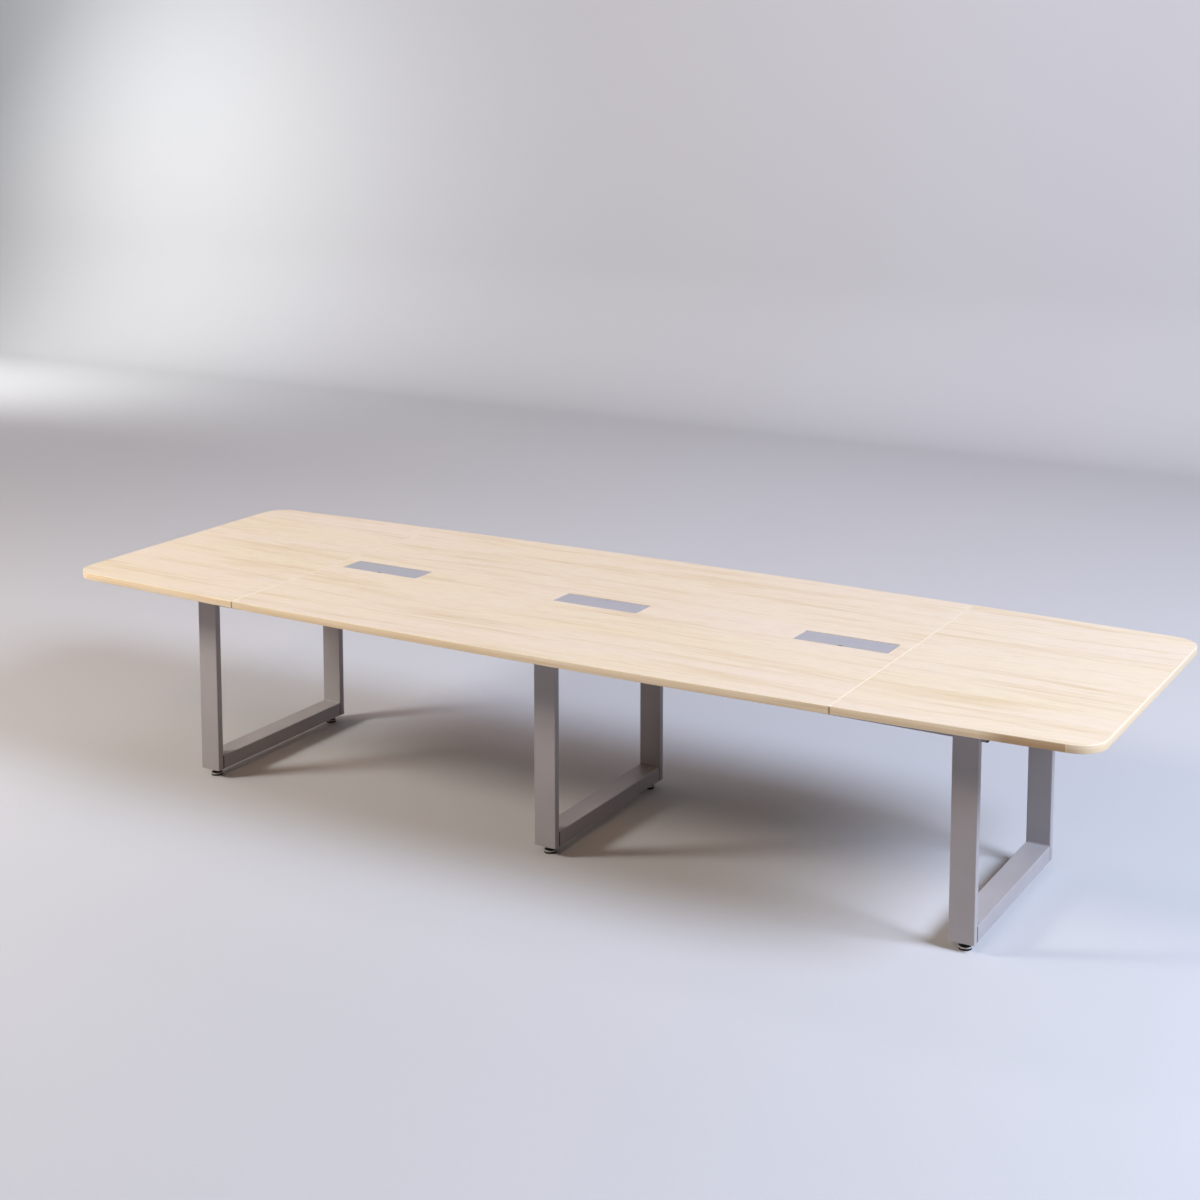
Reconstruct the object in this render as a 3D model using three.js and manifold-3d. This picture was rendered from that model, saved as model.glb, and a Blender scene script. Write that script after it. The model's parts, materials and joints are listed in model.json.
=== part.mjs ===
// Conference table: a boat-shaped banded top in three boards, carried by three leg frames and two beams,
// with three hinged cable hatches along the middle and six levelling feet.
// Millimetres, +Z up. X runs along the table and the origin is on the floor under its middle.
import * as THREE from 'three';
import { mergeVertices } from 'three/addons/utils/BufferGeometryUtils.js';
import Module from 'manifold-3d';

const wasm = await Module();
wasm.setup();

// Top: three boards with bowed long sides and straight ends
const TABLE_HEIGHT = 750;
const TOP_LENGTH = 3700;
const TOP_WIDTH = 1244;
const SIDE_RADIUS = 32000;
const CORNER_RADIUS = 90;
const BOARD_THICKNESS = 25;
const BAND_THICKNESS = 2;
const BAND_ARRIS = 1.5;
const GLUE_LINE = 0.2;
const SEAM_X = 1090;
const SEAM_GAP = 1;

// Cable hatches: a lid in a cut-out of the centre board, turning on a pin in the tray below
const HATCH_PITCH = 885;
const LID_LENGTH = 316;
const LID_WIDTH = 102;
const LID_THICKNESS = 4;
const LID_ARRIS = 0.8;
const LID_GAP = 2.5;
const LID_RECESS = 0.5;
const LID_RIB = 3;
const RIB_PLACES = [0.75, 0.4];
const LID_SEAT = 0.3;
const HINGE_INSET = 20;
const HINGE_DROP = 8;
const KNUCKLE_RADIUS = 4.5;
const KNUCKLE_END_GAP = 3;
const PIN_RADIUS = 2;
const PIN_PLAY = 0.1;
const NOTCH_RADIUS = 12;
const NOTCH_DEPTH = 9;
const TRAY_SHEET = 1.5;
const TRAY_DEPTH = 85;
const TRAY_CLEARANCE = 0.5;
const TRAY_CORNER = 4;
const TRAY_FLANGE = 14;
const TRAY_HINGE_WALL_DROP = 22;
const CABLE_SLOT_LENGTH = 220;
const CABLE_SLOT_WIDTH = 50;
const STOP_LENGTH = 8;
const STOP_THICKNESS = 3;
const STOP_OFFSET = 3.4;
const STOP_TOP = 16;
const STOP_BOTTOM = 23;

// Leg frames: two posts and a floor rail of flat rectangular tube
const FRAME_PITCH = 1410;
const FRAME_DEPTH = 732;
const TUBE_WIDTH = 80;
const POST_THICKNESS = 25;
const RAIL_HEIGHT = 50;
const TUBE_WALL = 2;
const TUBE_CORNER = 3;
const PLATE_LENGTH = 160;
const PLATE_WIDTH = 85;
const PLATE_THICKNESS = 5;
const PLATE_CORNER = 10;
const PLATE_HOLE_INSET = 16;

// Beams under the top, and what they carry
const BEAM_LENGTH = 2926;
const BEAM_WIDTH = 30;
const BEAM_HEIGHT = 92;
const CAP_THICKNESS = 4;
const CAP_ARRIS = 2;
const CAP_PLUG = 14;
const CAP_CLEARANCE = 0.3;
const BAR_WIDTH = 50;
const BAR_HEIGHT = 40;
const BRACKET_X = 450;
const BRACKET_LEG = 40;
const BRACKET_LENGTH = 60;
const SHEET = 3;
const BEND_RADIUS = 5;
const SCREW_RADIUS = 3;

// Levelling feet
const FOOT_HEIGHT = 28;
const FOOT_INSET = 34;
const PAD_RADIUS = 20;
const PAD_ARRIS = 1.5;
const PAD_SIDE = 10.5;
const PAD_HEIGHT = 16.5;
const HUB_RADIUS = 8;
const HUB_FLARE = 2;
const SOCKET_RADIUS = 5.4;
const SOCKET_FLOOR = 7;
const BALL_RADIUS = 5;
const BALL_PLAY = 0.3;
const STEM_RADIUS = 4;
const STEM_TOP = 60;
const STEM_CHAMFER = 1;
const COLLAR_RADIUS = 7.5;
const COLLAR_BOTTOM = 18;
const NUT_RADIUS = 9;
const NUT_HEIGHT = 10;

// Heights and places that follow from them
const UNDERSIDE = TABLE_HEIGHT - BOARD_THICKNESS;
const FRAME_TOP = UNDERSIDE - PLATE_THICKNESS;
const BEAM_Y = FRAME_DEPTH / 2 - POST_THICKNESS - BEAM_WIDTH / 2;
const BAR_LENGTH = 2 * BEAM_Y - BEAM_WIDTH;
const SIDE_CENTRE = SIDE_RADIUS - TOP_WIDTH / 2;
const CUTOUT_LENGTH = LID_LENGTH + 2 * LID_GAP;
const CUTOUT_WIDTH = LID_WIDTH + 2 * LID_GAP;
const TRAY_LENGTH = CUTOUT_LENGTH - 2 * TRAY_CLEARANCE;
const TRAY_WIDTH = CUTOUT_WIDTH - 2 * TRAY_CLEARANCE;
const HINGE_Y = LID_WIDTH / 2 - HINGE_INSET;
const HINGE_Z = TABLE_HEIGHT - LID_RECESS - HINGE_DROP;
const LID_UNDERSIDE = HINGE_DROP - LID_THICKNESS;

// How finely round stretches are divided: an arc has twice as many facets as steps
const CORNER_STEPS = 2;
const HOLE_STEPS = 4;
const PLAN_STEPS = 5;
const ROUND_STEPS = 8;

// Finishes: painted steel, woodgrain board, brushed aluminium and the small parts' metals and plastics
const FINISHES = {
  board: { color: '#e7d7c2', roughness: 0.45, metalness: 0 },
  band: { color: '#d3b78d', roughness: 0.5, metalness: 0 },
  lid: { color: '#b3b6c2', roughness: 0.35, metalness: 0.9 },
  frame: { color: '#8f8c90', roughness: 0.4, metalness: 0.4 },
  tray: { color: '#6b6b70', roughness: 0.6, metalness: 0.3 },
  steel: { color: '#9a9ba0', roughness: 0.35, metalness: 1 },
  cap: { color: '#3a3a3e', roughness: 0.6, metalness: 0 },
  pad: { color: '#a2a1a2', roughness: 0.5, metalness: 0 },
};

const ALONG_X = new THREE.Matrix4().makeBasis(
  new THREE.Vector3(0, 1, 0),
  new THREE.Vector3(0, 0, 1),
  new THREE.Vector3(1, 0, 0),
);
const ALONG_Y = new THREE.Matrix4().makeRotationX(Math.PI / 2);

// A geometry as a closed solid, with shared vertices merged and slivers of no area left out.
function solid(geometry) {
  const bare = geometry.clone();
  bare.deleteAttribute('normal');
  bare.deleteAttribute('uv');
  const merged = mergeVertices(bare, 1e-3);
  const corners = merged.index.array;
  const kept = [];
  for (let i = 0; i < corners.length; i += 3) {
    const face = corners.slice(i, i + 3);
    if (new Set(face).size === 3) kept.push(...face);
  }
  const vertProperties = merged.attributes.position.array;
  return new wasm.Manifold(new wasm.Mesh({ numProp: 3, vertProperties, triVerts: new Uint32Array(kept) }));
}

// A solid as a named mesh with a material of its own.
function piece(name, body, finish) {
  const { vertProperties, triVerts } = body.getMesh();
  const geometry = new THREE.BufferGeometry();
  geometry.setAttribute('position', new THREE.BufferAttribute(vertProperties, 3));
  geometry.setIndex(new THREE.BufferAttribute(triVerts, 1));
  geometry.computeVertexNormals();
  const mesh = new THREE.Mesh(geometry, new THREE.MeshStandardMaterial(FINISHES[finish]));
  mesh.name = name;
  return mesh;
}

// A prism of an outline between two heights, or turned so that its length lies along X or Y.
function prism(outline, low, high, { turn = null, steps = CORNER_STEPS } = {}) {
  const geometry = new THREE.ExtrudeGeometry(outline, {
    depth: high - low,
    bevelEnabled: false,
    curveSegments: steps,
  });
  geometry.translate(0, 0, low);
  if (turn) geometry.applyMatrix4(turn);
  return solid(geometry);
}

// A prism whose upper and lower edges are rounded inside its outline.
function roundedPrism(outline, thickness, arris, steps) {
  const geometry = new THREE.ExtrudeGeometry(outline, {
    depth: thickness - 2 * arris,
    bevelThickness: arris,
    bevelSize: arris,
    bevelOffset: -arris,
    bevelSegments: 2,
    curveSegments: steps,
  });
  geometry.translate(0, 0, arris);
  return solid(geometry);
}

function box([x0, x1], [y0, y1], [z0, z1]) {
  const geometry = new THREE.BoxGeometry(x1 - x0, y1 - y0, z1 - z0);
  geometry.translate((x0 + x1) / 2, (y0 + y1) / 2, (z0 + z1) / 2);
  return solid(geometry);
}

function circle(radius, x = 0, y = 0, path = new THREE.Shape()) {
  return path.absarc(x, y, radius, 0, 2 * Math.PI);
}

function roundedOutline(width, height, radius, x = 0, y = 0, path = new THREE.Shape()) {
  const right = x + width / 2 - radius;
  const left = x - width / 2 + radius;
  const top = y + height / 2 - radius;
  const bottom = y - height / 2 + radius;
  path.absarc(right, top, radius, 0, 0.5 * Math.PI);
  path.absarc(left, top, radius, 0.5 * Math.PI, Math.PI);
  path.absarc(left, bottom, radius, Math.PI, 1.5 * Math.PI);
  path.absarc(right, bottom, radius, 1.5 * Math.PI, 2 * Math.PI);
  return path.closePath();
}

// The section of a rectangular tube, or of the folded sheet that is a part of one.
function tubeOutline(width, height, wall, radius) {
  const outline = roundedOutline(width, height, radius);
  const bore = roundedOutline(width - 2 * wall, height - 2 * wall, radius - wall, 0, 0, new THREE.Path());
  outline.holes.push(bore);
  return outline;
}

function revolve(profile) {
  const points = profile.map(([radius, height]) => new THREE.Vector2(radius, height));
  const geometry = new THREE.LatheGeometry(points, 2 * ROUND_STEPS);
  return solid(geometry.rotateX(Math.PI / 2));
}

// The centre board's plan, drawn in from its edge: two far arcs joined by the straight seams.
function centreOutline(inset) {
  const radius = SIDE_RADIUS - inset;
  const seam = Math.acos((SEAM_X - SEAM_GAP / 2 - inset) / radius);
  const outline = new THREE.Shape();
  outline.absarc(0, SIDE_CENTRE, radius, seam - Math.PI, -seam);
  outline.absarc(0, -SIDE_CENTRE, radius, seam, Math.PI - seam);
  return outline.closePath();
}

// The right board's plan: the same far arcs, run into the end through two rounded corners.
function endOutline(inset) {
  const radius = SIDE_RADIUS - inset;
  const seam = Math.acos((SEAM_X + SEAM_GAP / 2 + inset) / radius);
  const cornerX = TOP_LENGTH / 2 - CORNER_RADIUS;
  const corner = Math.acos(cornerX / (SIDE_RADIUS - CORNER_RADIUS));
  const cornerY = (SIDE_RADIUS - CORNER_RADIUS) * Math.sin(corner) - SIDE_CENTRE;
  const outline = new THREE.Shape();
  outline.absarc(0, SIDE_CENTRE, radius, -seam, -corner);
  outline.absarc(cornerX, -cornerY, CORNER_RADIUS - inset, -corner, 0);
  outline.absarc(cornerX, cornerY, CORNER_RADIUS - inset, 0, corner);
  outline.absarc(0, -SIDE_CENTRE, radius, corner, seam);
  return outline.closePath();
}

// A board inside its band, with a cut-out for each hatch.
function board(outlineAt, cutouts) {
  let body = prism(outlineAt(BAND_THICKNESS + GLUE_LINE), 0, BOARD_THICKNESS, { steps: PLAN_STEPS });
  for (const x of cutouts) {
    const cutout = roundedOutline(CUTOUT_LENGTH, CUTOUT_WIDTH, TRAY_CORNER, x);
    body = body.subtract(prism(cutout, -1, BOARD_THICKNESS + 1));
  }
  return body;
}

// The band round a board: the rounded edge of the full plan, less what the board fills.
function band(outlineAt) {
  const full = roundedPrism(outlineAt(0), BOARD_THICKNESS, BAND_ARRIS, PLAN_STEPS);
  const core = prism(outlineAt(BAND_THICKNESS), -1, BOARD_THICKNESS + 1, { steps: PLAN_STEPS });
  return full.subtract(core);
}

// The lid's section with the pin at its origin: a plate with two ribs and a round hinge knuckle below it.
function lidSection() {
  const free = LID_WIDTH - HINGE_INSET;
  const section = new THREE.Shape();
  section.moveTo(-free, LID_UNDERSIDE);
  for (const place of RIB_PLACES) {
    const rib = -place * free;
    section.lineTo(rib - LID_RIB / 2, LID_UNDERSIDE);
    section.lineTo(rib - LID_RIB / 2, LID_UNDERSIDE - LID_RIB);
    section.lineTo(rib + LID_RIB / 2, LID_UNDERSIDE - LID_RIB);
    section.lineTo(rib + LID_RIB / 2, LID_UNDERSIDE);
  }
  section.lineTo(-KNUCKLE_RADIUS, LID_UNDERSIDE);
  section.absarc(0, 0, KNUCKLE_RADIUS, Math.PI, 2 * Math.PI);
  section.lineTo(KNUCKLE_RADIUS, LID_UNDERSIDE);
  section.lineTo(HINGE_INSET, LID_UNDERSIDE);
  section.absarc(HINGE_INSET - LID_ARRIS, HINGE_DROP - LID_ARRIS, LID_ARRIS, 0, Math.PI / 2);
  section.absarc(LID_ARRIS - free, HINGE_DROP - LID_ARRIS, LID_ARRIS, Math.PI / 2, Math.PI);
  return section.closePath();
}

// A rod, or the hole for one, along X and centred on the origin.
function rod(radius, length) {
  const reach = length / 2;
  return prism(circle(radius), -reach, reach, { turn: ALONG_X, steps: ROUND_STEPS });
}

// The lid: its section along the hatch, relieved at both ends and notched for a finger at the free edge.
function lid() {
  const half = LID_LENGTH / 2;
  const free = LID_WIDTH - HINGE_INSET;
  const bore = rod(PIN_RADIUS + PIN_PLAY, LID_LENGTH);
  let body = prism(lidSection(), -half, half, { turn: ALONG_X, steps: HOLE_STEPS }).subtract(bore);
  for (const end of [-half, half]) {
    const relief = [end - KNUCKLE_END_GAP, end + KNUCKLE_END_GAP];
    body = body.subtract(box(relief, [-free - 1, HINGE_INSET + 1], [-HINGE_DROP, LID_UNDERSIDE]));
  }
  const notch = circle(NOTCH_RADIUS, 0, -free - NOTCH_RADIUS + NOTCH_DEPTH);
  return body.subtract(prism(notch, 0, 2 * HINGE_DROP, { steps: ROUND_STEPS }));
}

// Screw holes drilled down through a plate at the four corners of a rectangle.
function drillCorners(plate, width, height) {
  let body = plate;
  for (const x of [-width / 2, width / 2]) {
    for (const y of [-height / 2, height / 2]) {
      body = body.subtract(prism(circle(SCREW_RADIUS, x, y), -1, TABLE_HEIGHT, { steps: HOLE_STEPS }));
    }
  }
  return body;
}

// The tray: an open folded box with a flange under the board, a cable slot, pin holes and lid stops.
function tray() {
  const floor = TABLE_HEIGHT - TRAY_DEPTH;
  const rim = HINGE_Z + LID_UNDERSIDE - LID_SEAT;
  const length = TRAY_LENGTH - 2 * TRAY_SHEET;
  const width = TRAY_WIDTH - 2 * TRAY_SHEET;
  const outer = roundedOutline(TRAY_LENGTH, TRAY_WIDTH, TRAY_CORNER);
  const inner = roundedOutline(length, width, TRAY_CORNER - TRAY_SHEET);
  const spread = 2 * TRAY_FLANGE;
  const rimmed = roundedOutline(TRAY_LENGTH + spread, TRAY_WIDTH + spread, 2 * TRAY_CORNER);
  const plate = prism(rimmed, UNDERSIDE - TRAY_SHEET, UNDERSIDE);
  const flange = drillCorners(plate, TRAY_LENGTH + TRAY_FLANGE, TRAY_WIDTH + TRAY_FLANGE);
  const slot = roundedOutline(CABLE_SLOT_LENGTH, CABLE_SLOT_WIDTH, CABLE_SLOT_WIDTH / 2);
  const pinHole = rod(PIN_RADIUS + PIN_PLAY, 2 * TRAY_LENGTH);
  const tailSpace = [TABLE_HEIGHT - TRAY_HINGE_WALL_DROP, TABLE_HEIGHT];
  let body = prism(outer, floor, rim)
    .add(flange)
    .subtract(prism(inner, floor + TRAY_SHEET, TABLE_HEIGHT))
    .subtract(prism(slot, floor - 1, floor + 2 * TRAY_SHEET, { steps: HOLE_STEPS }))
    .subtract(box([-length / 2, length / 2], [width / 2 - TRAY_CORNER, TRAY_WIDTH], tailSpace))
    .subtract(pinHole.translate(0, HINGE_Y, HINGE_Z));
  const stopY = [HINGE_Y - STOP_OFFSET - STOP_THICKNESS, HINGE_Y - STOP_OFFSET];
  const stopZ = [HINGE_Z - STOP_BOTTOM, HINGE_Z - STOP_TOP];
  for (const end of [-length / 2, length / 2]) {
    const wall = Math.sign(end) * (STOP_LENGTH - TRAY_SHEET / 2) / 2;
    const stopX = [end - wall - STOP_LENGTH / 2, end - wall + STOP_LENGTH / 2];
    body = body.add(box(stopX, stopY, stopZ));
  }
  return body;
}

// A hatch in its own group, hinged at its rear edge and notched at its front edge.
function hatch(side) {
  const group = new THREE.Group();
  const lidMesh = piece(`${side}_hatch_lid`, lid(), 'lid');
  const pinMesh = piece(`${side}_hinge_pin`, rod(PIN_RADIUS, TRAY_LENGTH), 'steel');
  for (const mesh of [lidMesh, pinMesh]) mesh.position.set(0, HINGE_Y, HINGE_Z);
  group.add(lidMesh, pinMesh, piece(`${side}_hatch_tray`, tray(), 'tray'));
  return group;
}

// A post: a flat tube closed at the floor end and covered by its top plate.
function post() {
  const height = FRAME_TOP - FOOT_HEIGHT;
  const walls = 2 * TUBE_WALL;
  const outer = roundedOutline(TUBE_WIDTH, POST_THICKNESS, TUBE_CORNER);
  const bore = roundedOutline(TUBE_WIDTH - walls, POST_THICKNESS - walls, TUBE_CORNER - TUBE_WALL);
  return prism(outer, 0, height).subtract(prism(bore, TUBE_WALL, height + 1));
}

// A floor rail: a tube between the posts, with a weld nut over each hole for a foot's stem.
function floorRail() {
  const length = FRAME_DEPTH - 2 * POST_THICKNESS;
  const footY = FRAME_DEPTH / 2 - FOOT_INSET;
  const section = tubeOutline(TUBE_WIDTH, RAIL_HEIGHT, TUBE_WALL, TUBE_CORNER);
  let body = prism(section, -length / 2, length / 2, { turn: ALONG_Y }).translate(0, 0, RAIL_HEIGHT / 2);
  for (const y of [-footY, footY]) {
    const nut = prism(circle(NUT_RADIUS, 0, y), TUBE_WALL / 2, TUBE_WALL + NUT_HEIGHT, { steps: 3 });
    const hole = prism(circle(STEM_RADIUS + PIN_PLAY, 0, y), -1, RAIL_HEIGHT / 2, { steps: ROUND_STEPS });
    body = body.add(nut).subtract(hole);
  }
  return body;
}

// A plate over a post and the beam beside it, drilled for four wood screws.
function topPlate() {
  const plate = prism(roundedOutline(PLATE_LENGTH, PLATE_WIDTH, PLATE_CORNER), 0, PLATE_THICKNESS);
  return drillCorners(plate, PLATE_LENGTH - 2 * PLATE_HOLE_INSET, PLATE_WIDTH - 2 * PLATE_HOLE_INSET);
}

function beam() {
  const section = tubeOutline(BEAM_WIDTH, BEAM_HEIGHT, TUBE_WALL, TUBE_CORNER);
  return prism(section, -BEAM_LENGTH / 2, BEAM_LENGTH / 2, { turn: ALONG_X });
}

// A beam's end cap: a rounded face on a plug that fits inside the tube.
function beamCap() {
  const outline = roundedOutline(BEAM_WIDTH, BEAM_HEIGHT, TUBE_CORNER);
  const bore = 2 * (TUBE_WALL + CAP_CLEARANCE);
  const inner = roundedOutline(BEAM_WIDTH - bore, BEAM_HEIGHT - bore, TUBE_CORNER);
  const rounded = roundedPrism(outline, 2 * CAP_THICKNESS, CAP_ARRIS, CORNER_STEPS);
  const face = rounded.translate(0, 0, -CAP_THICKNESS).intersect(prism(outline, 0, CAP_THICKNESS));
  return face.add(prism(inner, -CAP_PLUG, CAP_ARRIS)).transform(ALONG_X.elements);
}

// A cross bar: the upper half of a folded section, open below.
function crossBar() {
  const section = tubeOutline(BAR_WIDTH, 2 * BAR_HEIGHT, SHEET, BEND_RADIUS);
  const folded = prism(section, -BAR_LENGTH / 2, BAR_LENGTH / 2, { turn: ALONG_Y });
  return folded.intersect(box([-BAR_WIDTH, BAR_WIDTH], [-BAR_LENGTH, BAR_LENGTH], [0, 2 * BAR_HEIGHT]));
}

// An angle bracket: one corner of a folded section, with two screw holes in each leg.
function bracket() {
  const half = BRACKET_LENGTH / 2;
  const section = tubeOutline(2 * BRACKET_LEG, 2 * BRACKET_LEG, SHEET, BEND_RADIUS);
  let body = prism(section, -half, half, { turn: ALONG_X });
  body = body.intersect(box([-half, half], [-2 * BRACKET_LEG, 0], [0, 2 * BRACKET_LEG]));
  for (const x of [-half / 2, half / 2]) {
    const down = prism(circle(SCREW_RADIUS, x, -BRACKET_LEG / 2), 0, 2 * BRACKET_LEG, { steps: HOLE_STEPS });
    const hole = circle(SCREW_RADIUS, x, BRACKET_LEG / 2);
    const across = prism(hole, 0, 2 * BRACKET_LEG, { turn: ALONG_Y, steps: HOLE_STEPS });
    body = body.subtract(down).subtract(across);
  }
  return body;
}

// A foot's pad: a flat-bottomed disc with a raised hub and a socket for the stem.
function footPad() {
  return revolve([
    [0, 0],
    [PAD_RADIUS - PAD_ARRIS, 0],
    [PAD_RADIUS, PAD_ARRIS],
    [PAD_RADIUS, PAD_SIDE],
    [PAD_RADIUS - PAD_ARRIS, PAD_SIDE + PAD_ARRIS],
    [HUB_RADIUS + HUB_FLARE, PAD_HEIGHT - HUB_FLARE],
    [HUB_RADIUS, PAD_HEIGHT],
    [SOCKET_RADIUS, PAD_HEIGHT],
    [SOCKET_RADIUS, SOCKET_FLOOR],
    [0, SOCKET_FLOOR],
  ]);
}

// A foot's stem: a ball end in the pad's socket, a hexagon collar under the rail and a screw above it.
function footStem() {
  const ballCentre = SOCKET_FLOOR + BALL_PLAY + BALL_RADIUS;
  const slant = BALL_RADIUS * Math.SQRT1_2;
  const turned = revolve([
    [0, ballCentre - BALL_RADIUS],
    [slant, ballCentre - slant],
    [BALL_RADIUS, ballCentre],
    [slant, ballCentre + slant],
    [slant, COLLAR_BOTTOM],
    [STEM_RADIUS, FOOT_HEIGHT],
    [STEM_RADIUS, STEM_TOP - STEM_CHAMFER],
    [STEM_RADIUS - STEM_CHAMFER, STEM_TOP],
    [0, STEM_TOP],
  ]);
  const hexagon = new THREE.CylinderGeometry(COLLAR_RADIUS, COLLAR_RADIUS, FOOT_HEIGHT - COLLAR_BOTTOM, 6);
  hexagon.rotateX(Math.PI / 2);
  hexagon.translate(0, 0, (FOOT_HEIGHT + COLLAR_BOTTOM) / 2);
  return turned.add(solid(hexagon));
}

// The top: the centre board with its hatches, and the end boards turned to face outwards.
function top() {
  const group = new THREE.Group();
  const hatches = { left: -HATCH_PITCH, middle: 0, right: HATCH_PITCH };
  const boards = [
    ['left', endOutline, [], Math.PI],
    ['centre', centreOutline, Object.values(hatches), 0],
    ['right', endOutline, [], 0],
  ];
  for (const [side, outlineAt, cutouts, turn] of boards) {
    const boardMesh = piece(`${side}_top_board`, board(outlineAt, cutouts), 'board');
    const bandMesh = piece(`${side}_edge_band`, band(outlineAt), 'band');
    for (const mesh of [boardMesh, bandMesh]) {
      mesh.position.z = UNDERSIDE;
      mesh.rotation.z = turn;
    }
    group.add(boardMesh, bandMesh);
  }
  for (const [side, x] of Object.entries(hatches)) {
    const made = hatch(side);
    made.position.x = x;
    made.rotation.z = side === 'middle' ? Math.PI : 0;
    group.add(made);
  }
  return group;
}

// A leg frame with its plates and feet. The front half is turned about to make the rear half.
function legFrame(side) {
  const group = new THREE.Group();
  const rail = piece(`${side}_floor_rail`, floorRail(), 'frame');
  rail.position.z = FOOT_HEIGHT;
  group.add(rail);
  for (const [end, turn] of [['front', 0], ['rear', Math.PI]]) {
    const half = new THREE.Group();
    const postMesh = piece(`${side}_${end}_post`, post(), 'frame');
    postMesh.position.set(0, (POST_THICKNESS - FRAME_DEPTH) / 2, FOOT_HEIGHT);
    const plateMesh = piece(`${side}_${end}_top_plate`, topPlate(), 'frame');
    plateMesh.position.set(0, (PLATE_WIDTH - FRAME_DEPTH) / 2, FRAME_TOP);
    const padMesh = piece(`${side}_${end}_foot_pad`, footPad(), 'pad');
    const stemMesh = piece(`${side}_${end}_foot_stem`, footStem(), 'steel');
    for (const mesh of [padMesh, stemMesh]) mesh.position.y = FOOT_INSET - FRAME_DEPTH / 2;
    half.add(postMesh, plateMesh, padMesh, stemMesh);
    half.rotation.z = turn;
    group.add(half);
  }
  return group;
}

// The two beams with their caps and brackets, and the cross bars that tie them together.
function underframe() {
  const group = new THREE.Group();
  for (const [side, turn] of [['front', 0], ['rear', Math.PI]]) {
    const half = new THREE.Group();
    const beamMesh = piece(`${side}_beam`, beam(), 'frame');
    beamMesh.position.set(0, -BEAM_Y, FRAME_TOP - BEAM_HEIGHT / 2);
    half.add(beamMesh);
    for (const end of [-1, 1]) {
      const name = end * (turn ? -1 : 1) < 0 ? 'left' : 'right';
      const capMesh = piece(`${side}_beam_${name}_cap`, beamCap(), 'cap');
      capMesh.position.set((end * BEAM_LENGTH) / 2, -BEAM_Y, FRAME_TOP - BEAM_HEIGHT / 2);
      capMesh.rotation.z = end < 0 ? Math.PI : 0;
      const bracketMesh = piece(`${side}_${name}_bracket`, bracket(), 'frame');
      bracketMesh.position.set(end * BRACKET_X, BRACKET_LEG - BAR_LENGTH / 2, UNDERSIDE - BRACKET_LEG);
      half.add(capMesh, bracketMesh);
    }
    half.rotation.z = turn;
    group.add(half);
  }
  for (const [name, x, height] of [['end', FRAME_PITCH, FRAME_TOP], ['seam', SEAM_X, UNDERSIDE]]) {
    for (const [side, sign] of [['left', -1], ['right', 1]]) {
      const bar = piece(`${side}_${name}_cross_bar`, crossBar(), 'frame');
      bar.position.set(sign * x, 0, height - BAR_HEIGHT);
      group.add(bar);
    }
  }
  return group;
}

const table = new THREE.Group();
table.add(top(), underframe());
for (const [side, x] of [['left', -FRAME_PITCH], ['middle', 0], ['right', FRAME_PITCH]]) {
  const frame = legFrame(side);
  frame.position.x = x;
  table.add(frame);
}

export default table;
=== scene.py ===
# %% [markdown]
# # A conference table in a pale studio
#
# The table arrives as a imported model: every board, tube and foot is already the right size and in the
# right place. This lesson adds what the solids can't say by themselves. It gives each of them a finish
# with the grain, brushing and coating of the real thing, and it models the small parts that the eye
# looks for: the banded edge, the feet with their threads, the screws, the bolts and the welds.

# %% Load the table
import json
import math

import bpy
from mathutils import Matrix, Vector


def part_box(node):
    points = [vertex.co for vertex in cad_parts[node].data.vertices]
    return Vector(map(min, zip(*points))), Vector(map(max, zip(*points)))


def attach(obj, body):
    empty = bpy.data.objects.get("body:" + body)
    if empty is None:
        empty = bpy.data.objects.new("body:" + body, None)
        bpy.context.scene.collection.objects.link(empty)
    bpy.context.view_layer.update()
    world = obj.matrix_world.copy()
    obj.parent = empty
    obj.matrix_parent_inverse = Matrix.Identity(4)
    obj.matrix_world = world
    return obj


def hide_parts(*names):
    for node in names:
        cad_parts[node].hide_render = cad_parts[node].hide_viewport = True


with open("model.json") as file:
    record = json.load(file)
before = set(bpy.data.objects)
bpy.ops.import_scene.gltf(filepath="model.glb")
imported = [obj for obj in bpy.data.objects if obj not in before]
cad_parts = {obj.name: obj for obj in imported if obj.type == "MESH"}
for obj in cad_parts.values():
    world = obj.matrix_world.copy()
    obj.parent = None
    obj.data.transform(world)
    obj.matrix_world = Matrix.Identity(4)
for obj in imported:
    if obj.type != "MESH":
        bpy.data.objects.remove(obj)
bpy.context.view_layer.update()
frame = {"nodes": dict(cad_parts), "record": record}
nodes = frame["nodes"]

# %% [markdown]
# ## The camera
#
# The table is seen from its right-hand front, from a little above head height, through a short
# telephoto lens. In the photograph upright edges stay almost upright, as they do for an architect's
# camera: it is held nearly level, and the picture is moved down on the film instead of tilting the
# camera. Part of that is done by the lens shift here and part by a small tilt, so that the table still
# sits well inside the frame when the camera is walked round it.

# %% Camera
IMAGE = 1200
SENSOR = 36.0
FOCAL_PIXELS = 1986.0
CAMERA_PLACE = (3.2504, -5.6141, 2.5582)
CAMERA_TURN = 0.5256
CAMERA_TILT = 0.1204
FILM_SHIFT = -0.25

camera_data = bpy.data.cameras.new("studio_camera")
camera_data.sensor_width = SENSOR
camera_data.lens = FOCAL_PIXELS * SENSOR / IMAGE
camera_data.shift_y = FILM_SHIFT
camera_data.clip_end = 200
camera = bpy.data.objects.new("studio_camera", camera_data)
camera.location = CAMERA_PLACE
camera.rotation_euler = (math.pi / 2 - CAMERA_TILT, 0, CAMERA_TURN)
bpy.context.scene.collection.objects.link(camera)
bpy.context.scene.camera = camera
bpy.context.scene.view_settings.view_transform = "Standard"
print("lens", round(camera_data.lens, 1), "mm")

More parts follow.
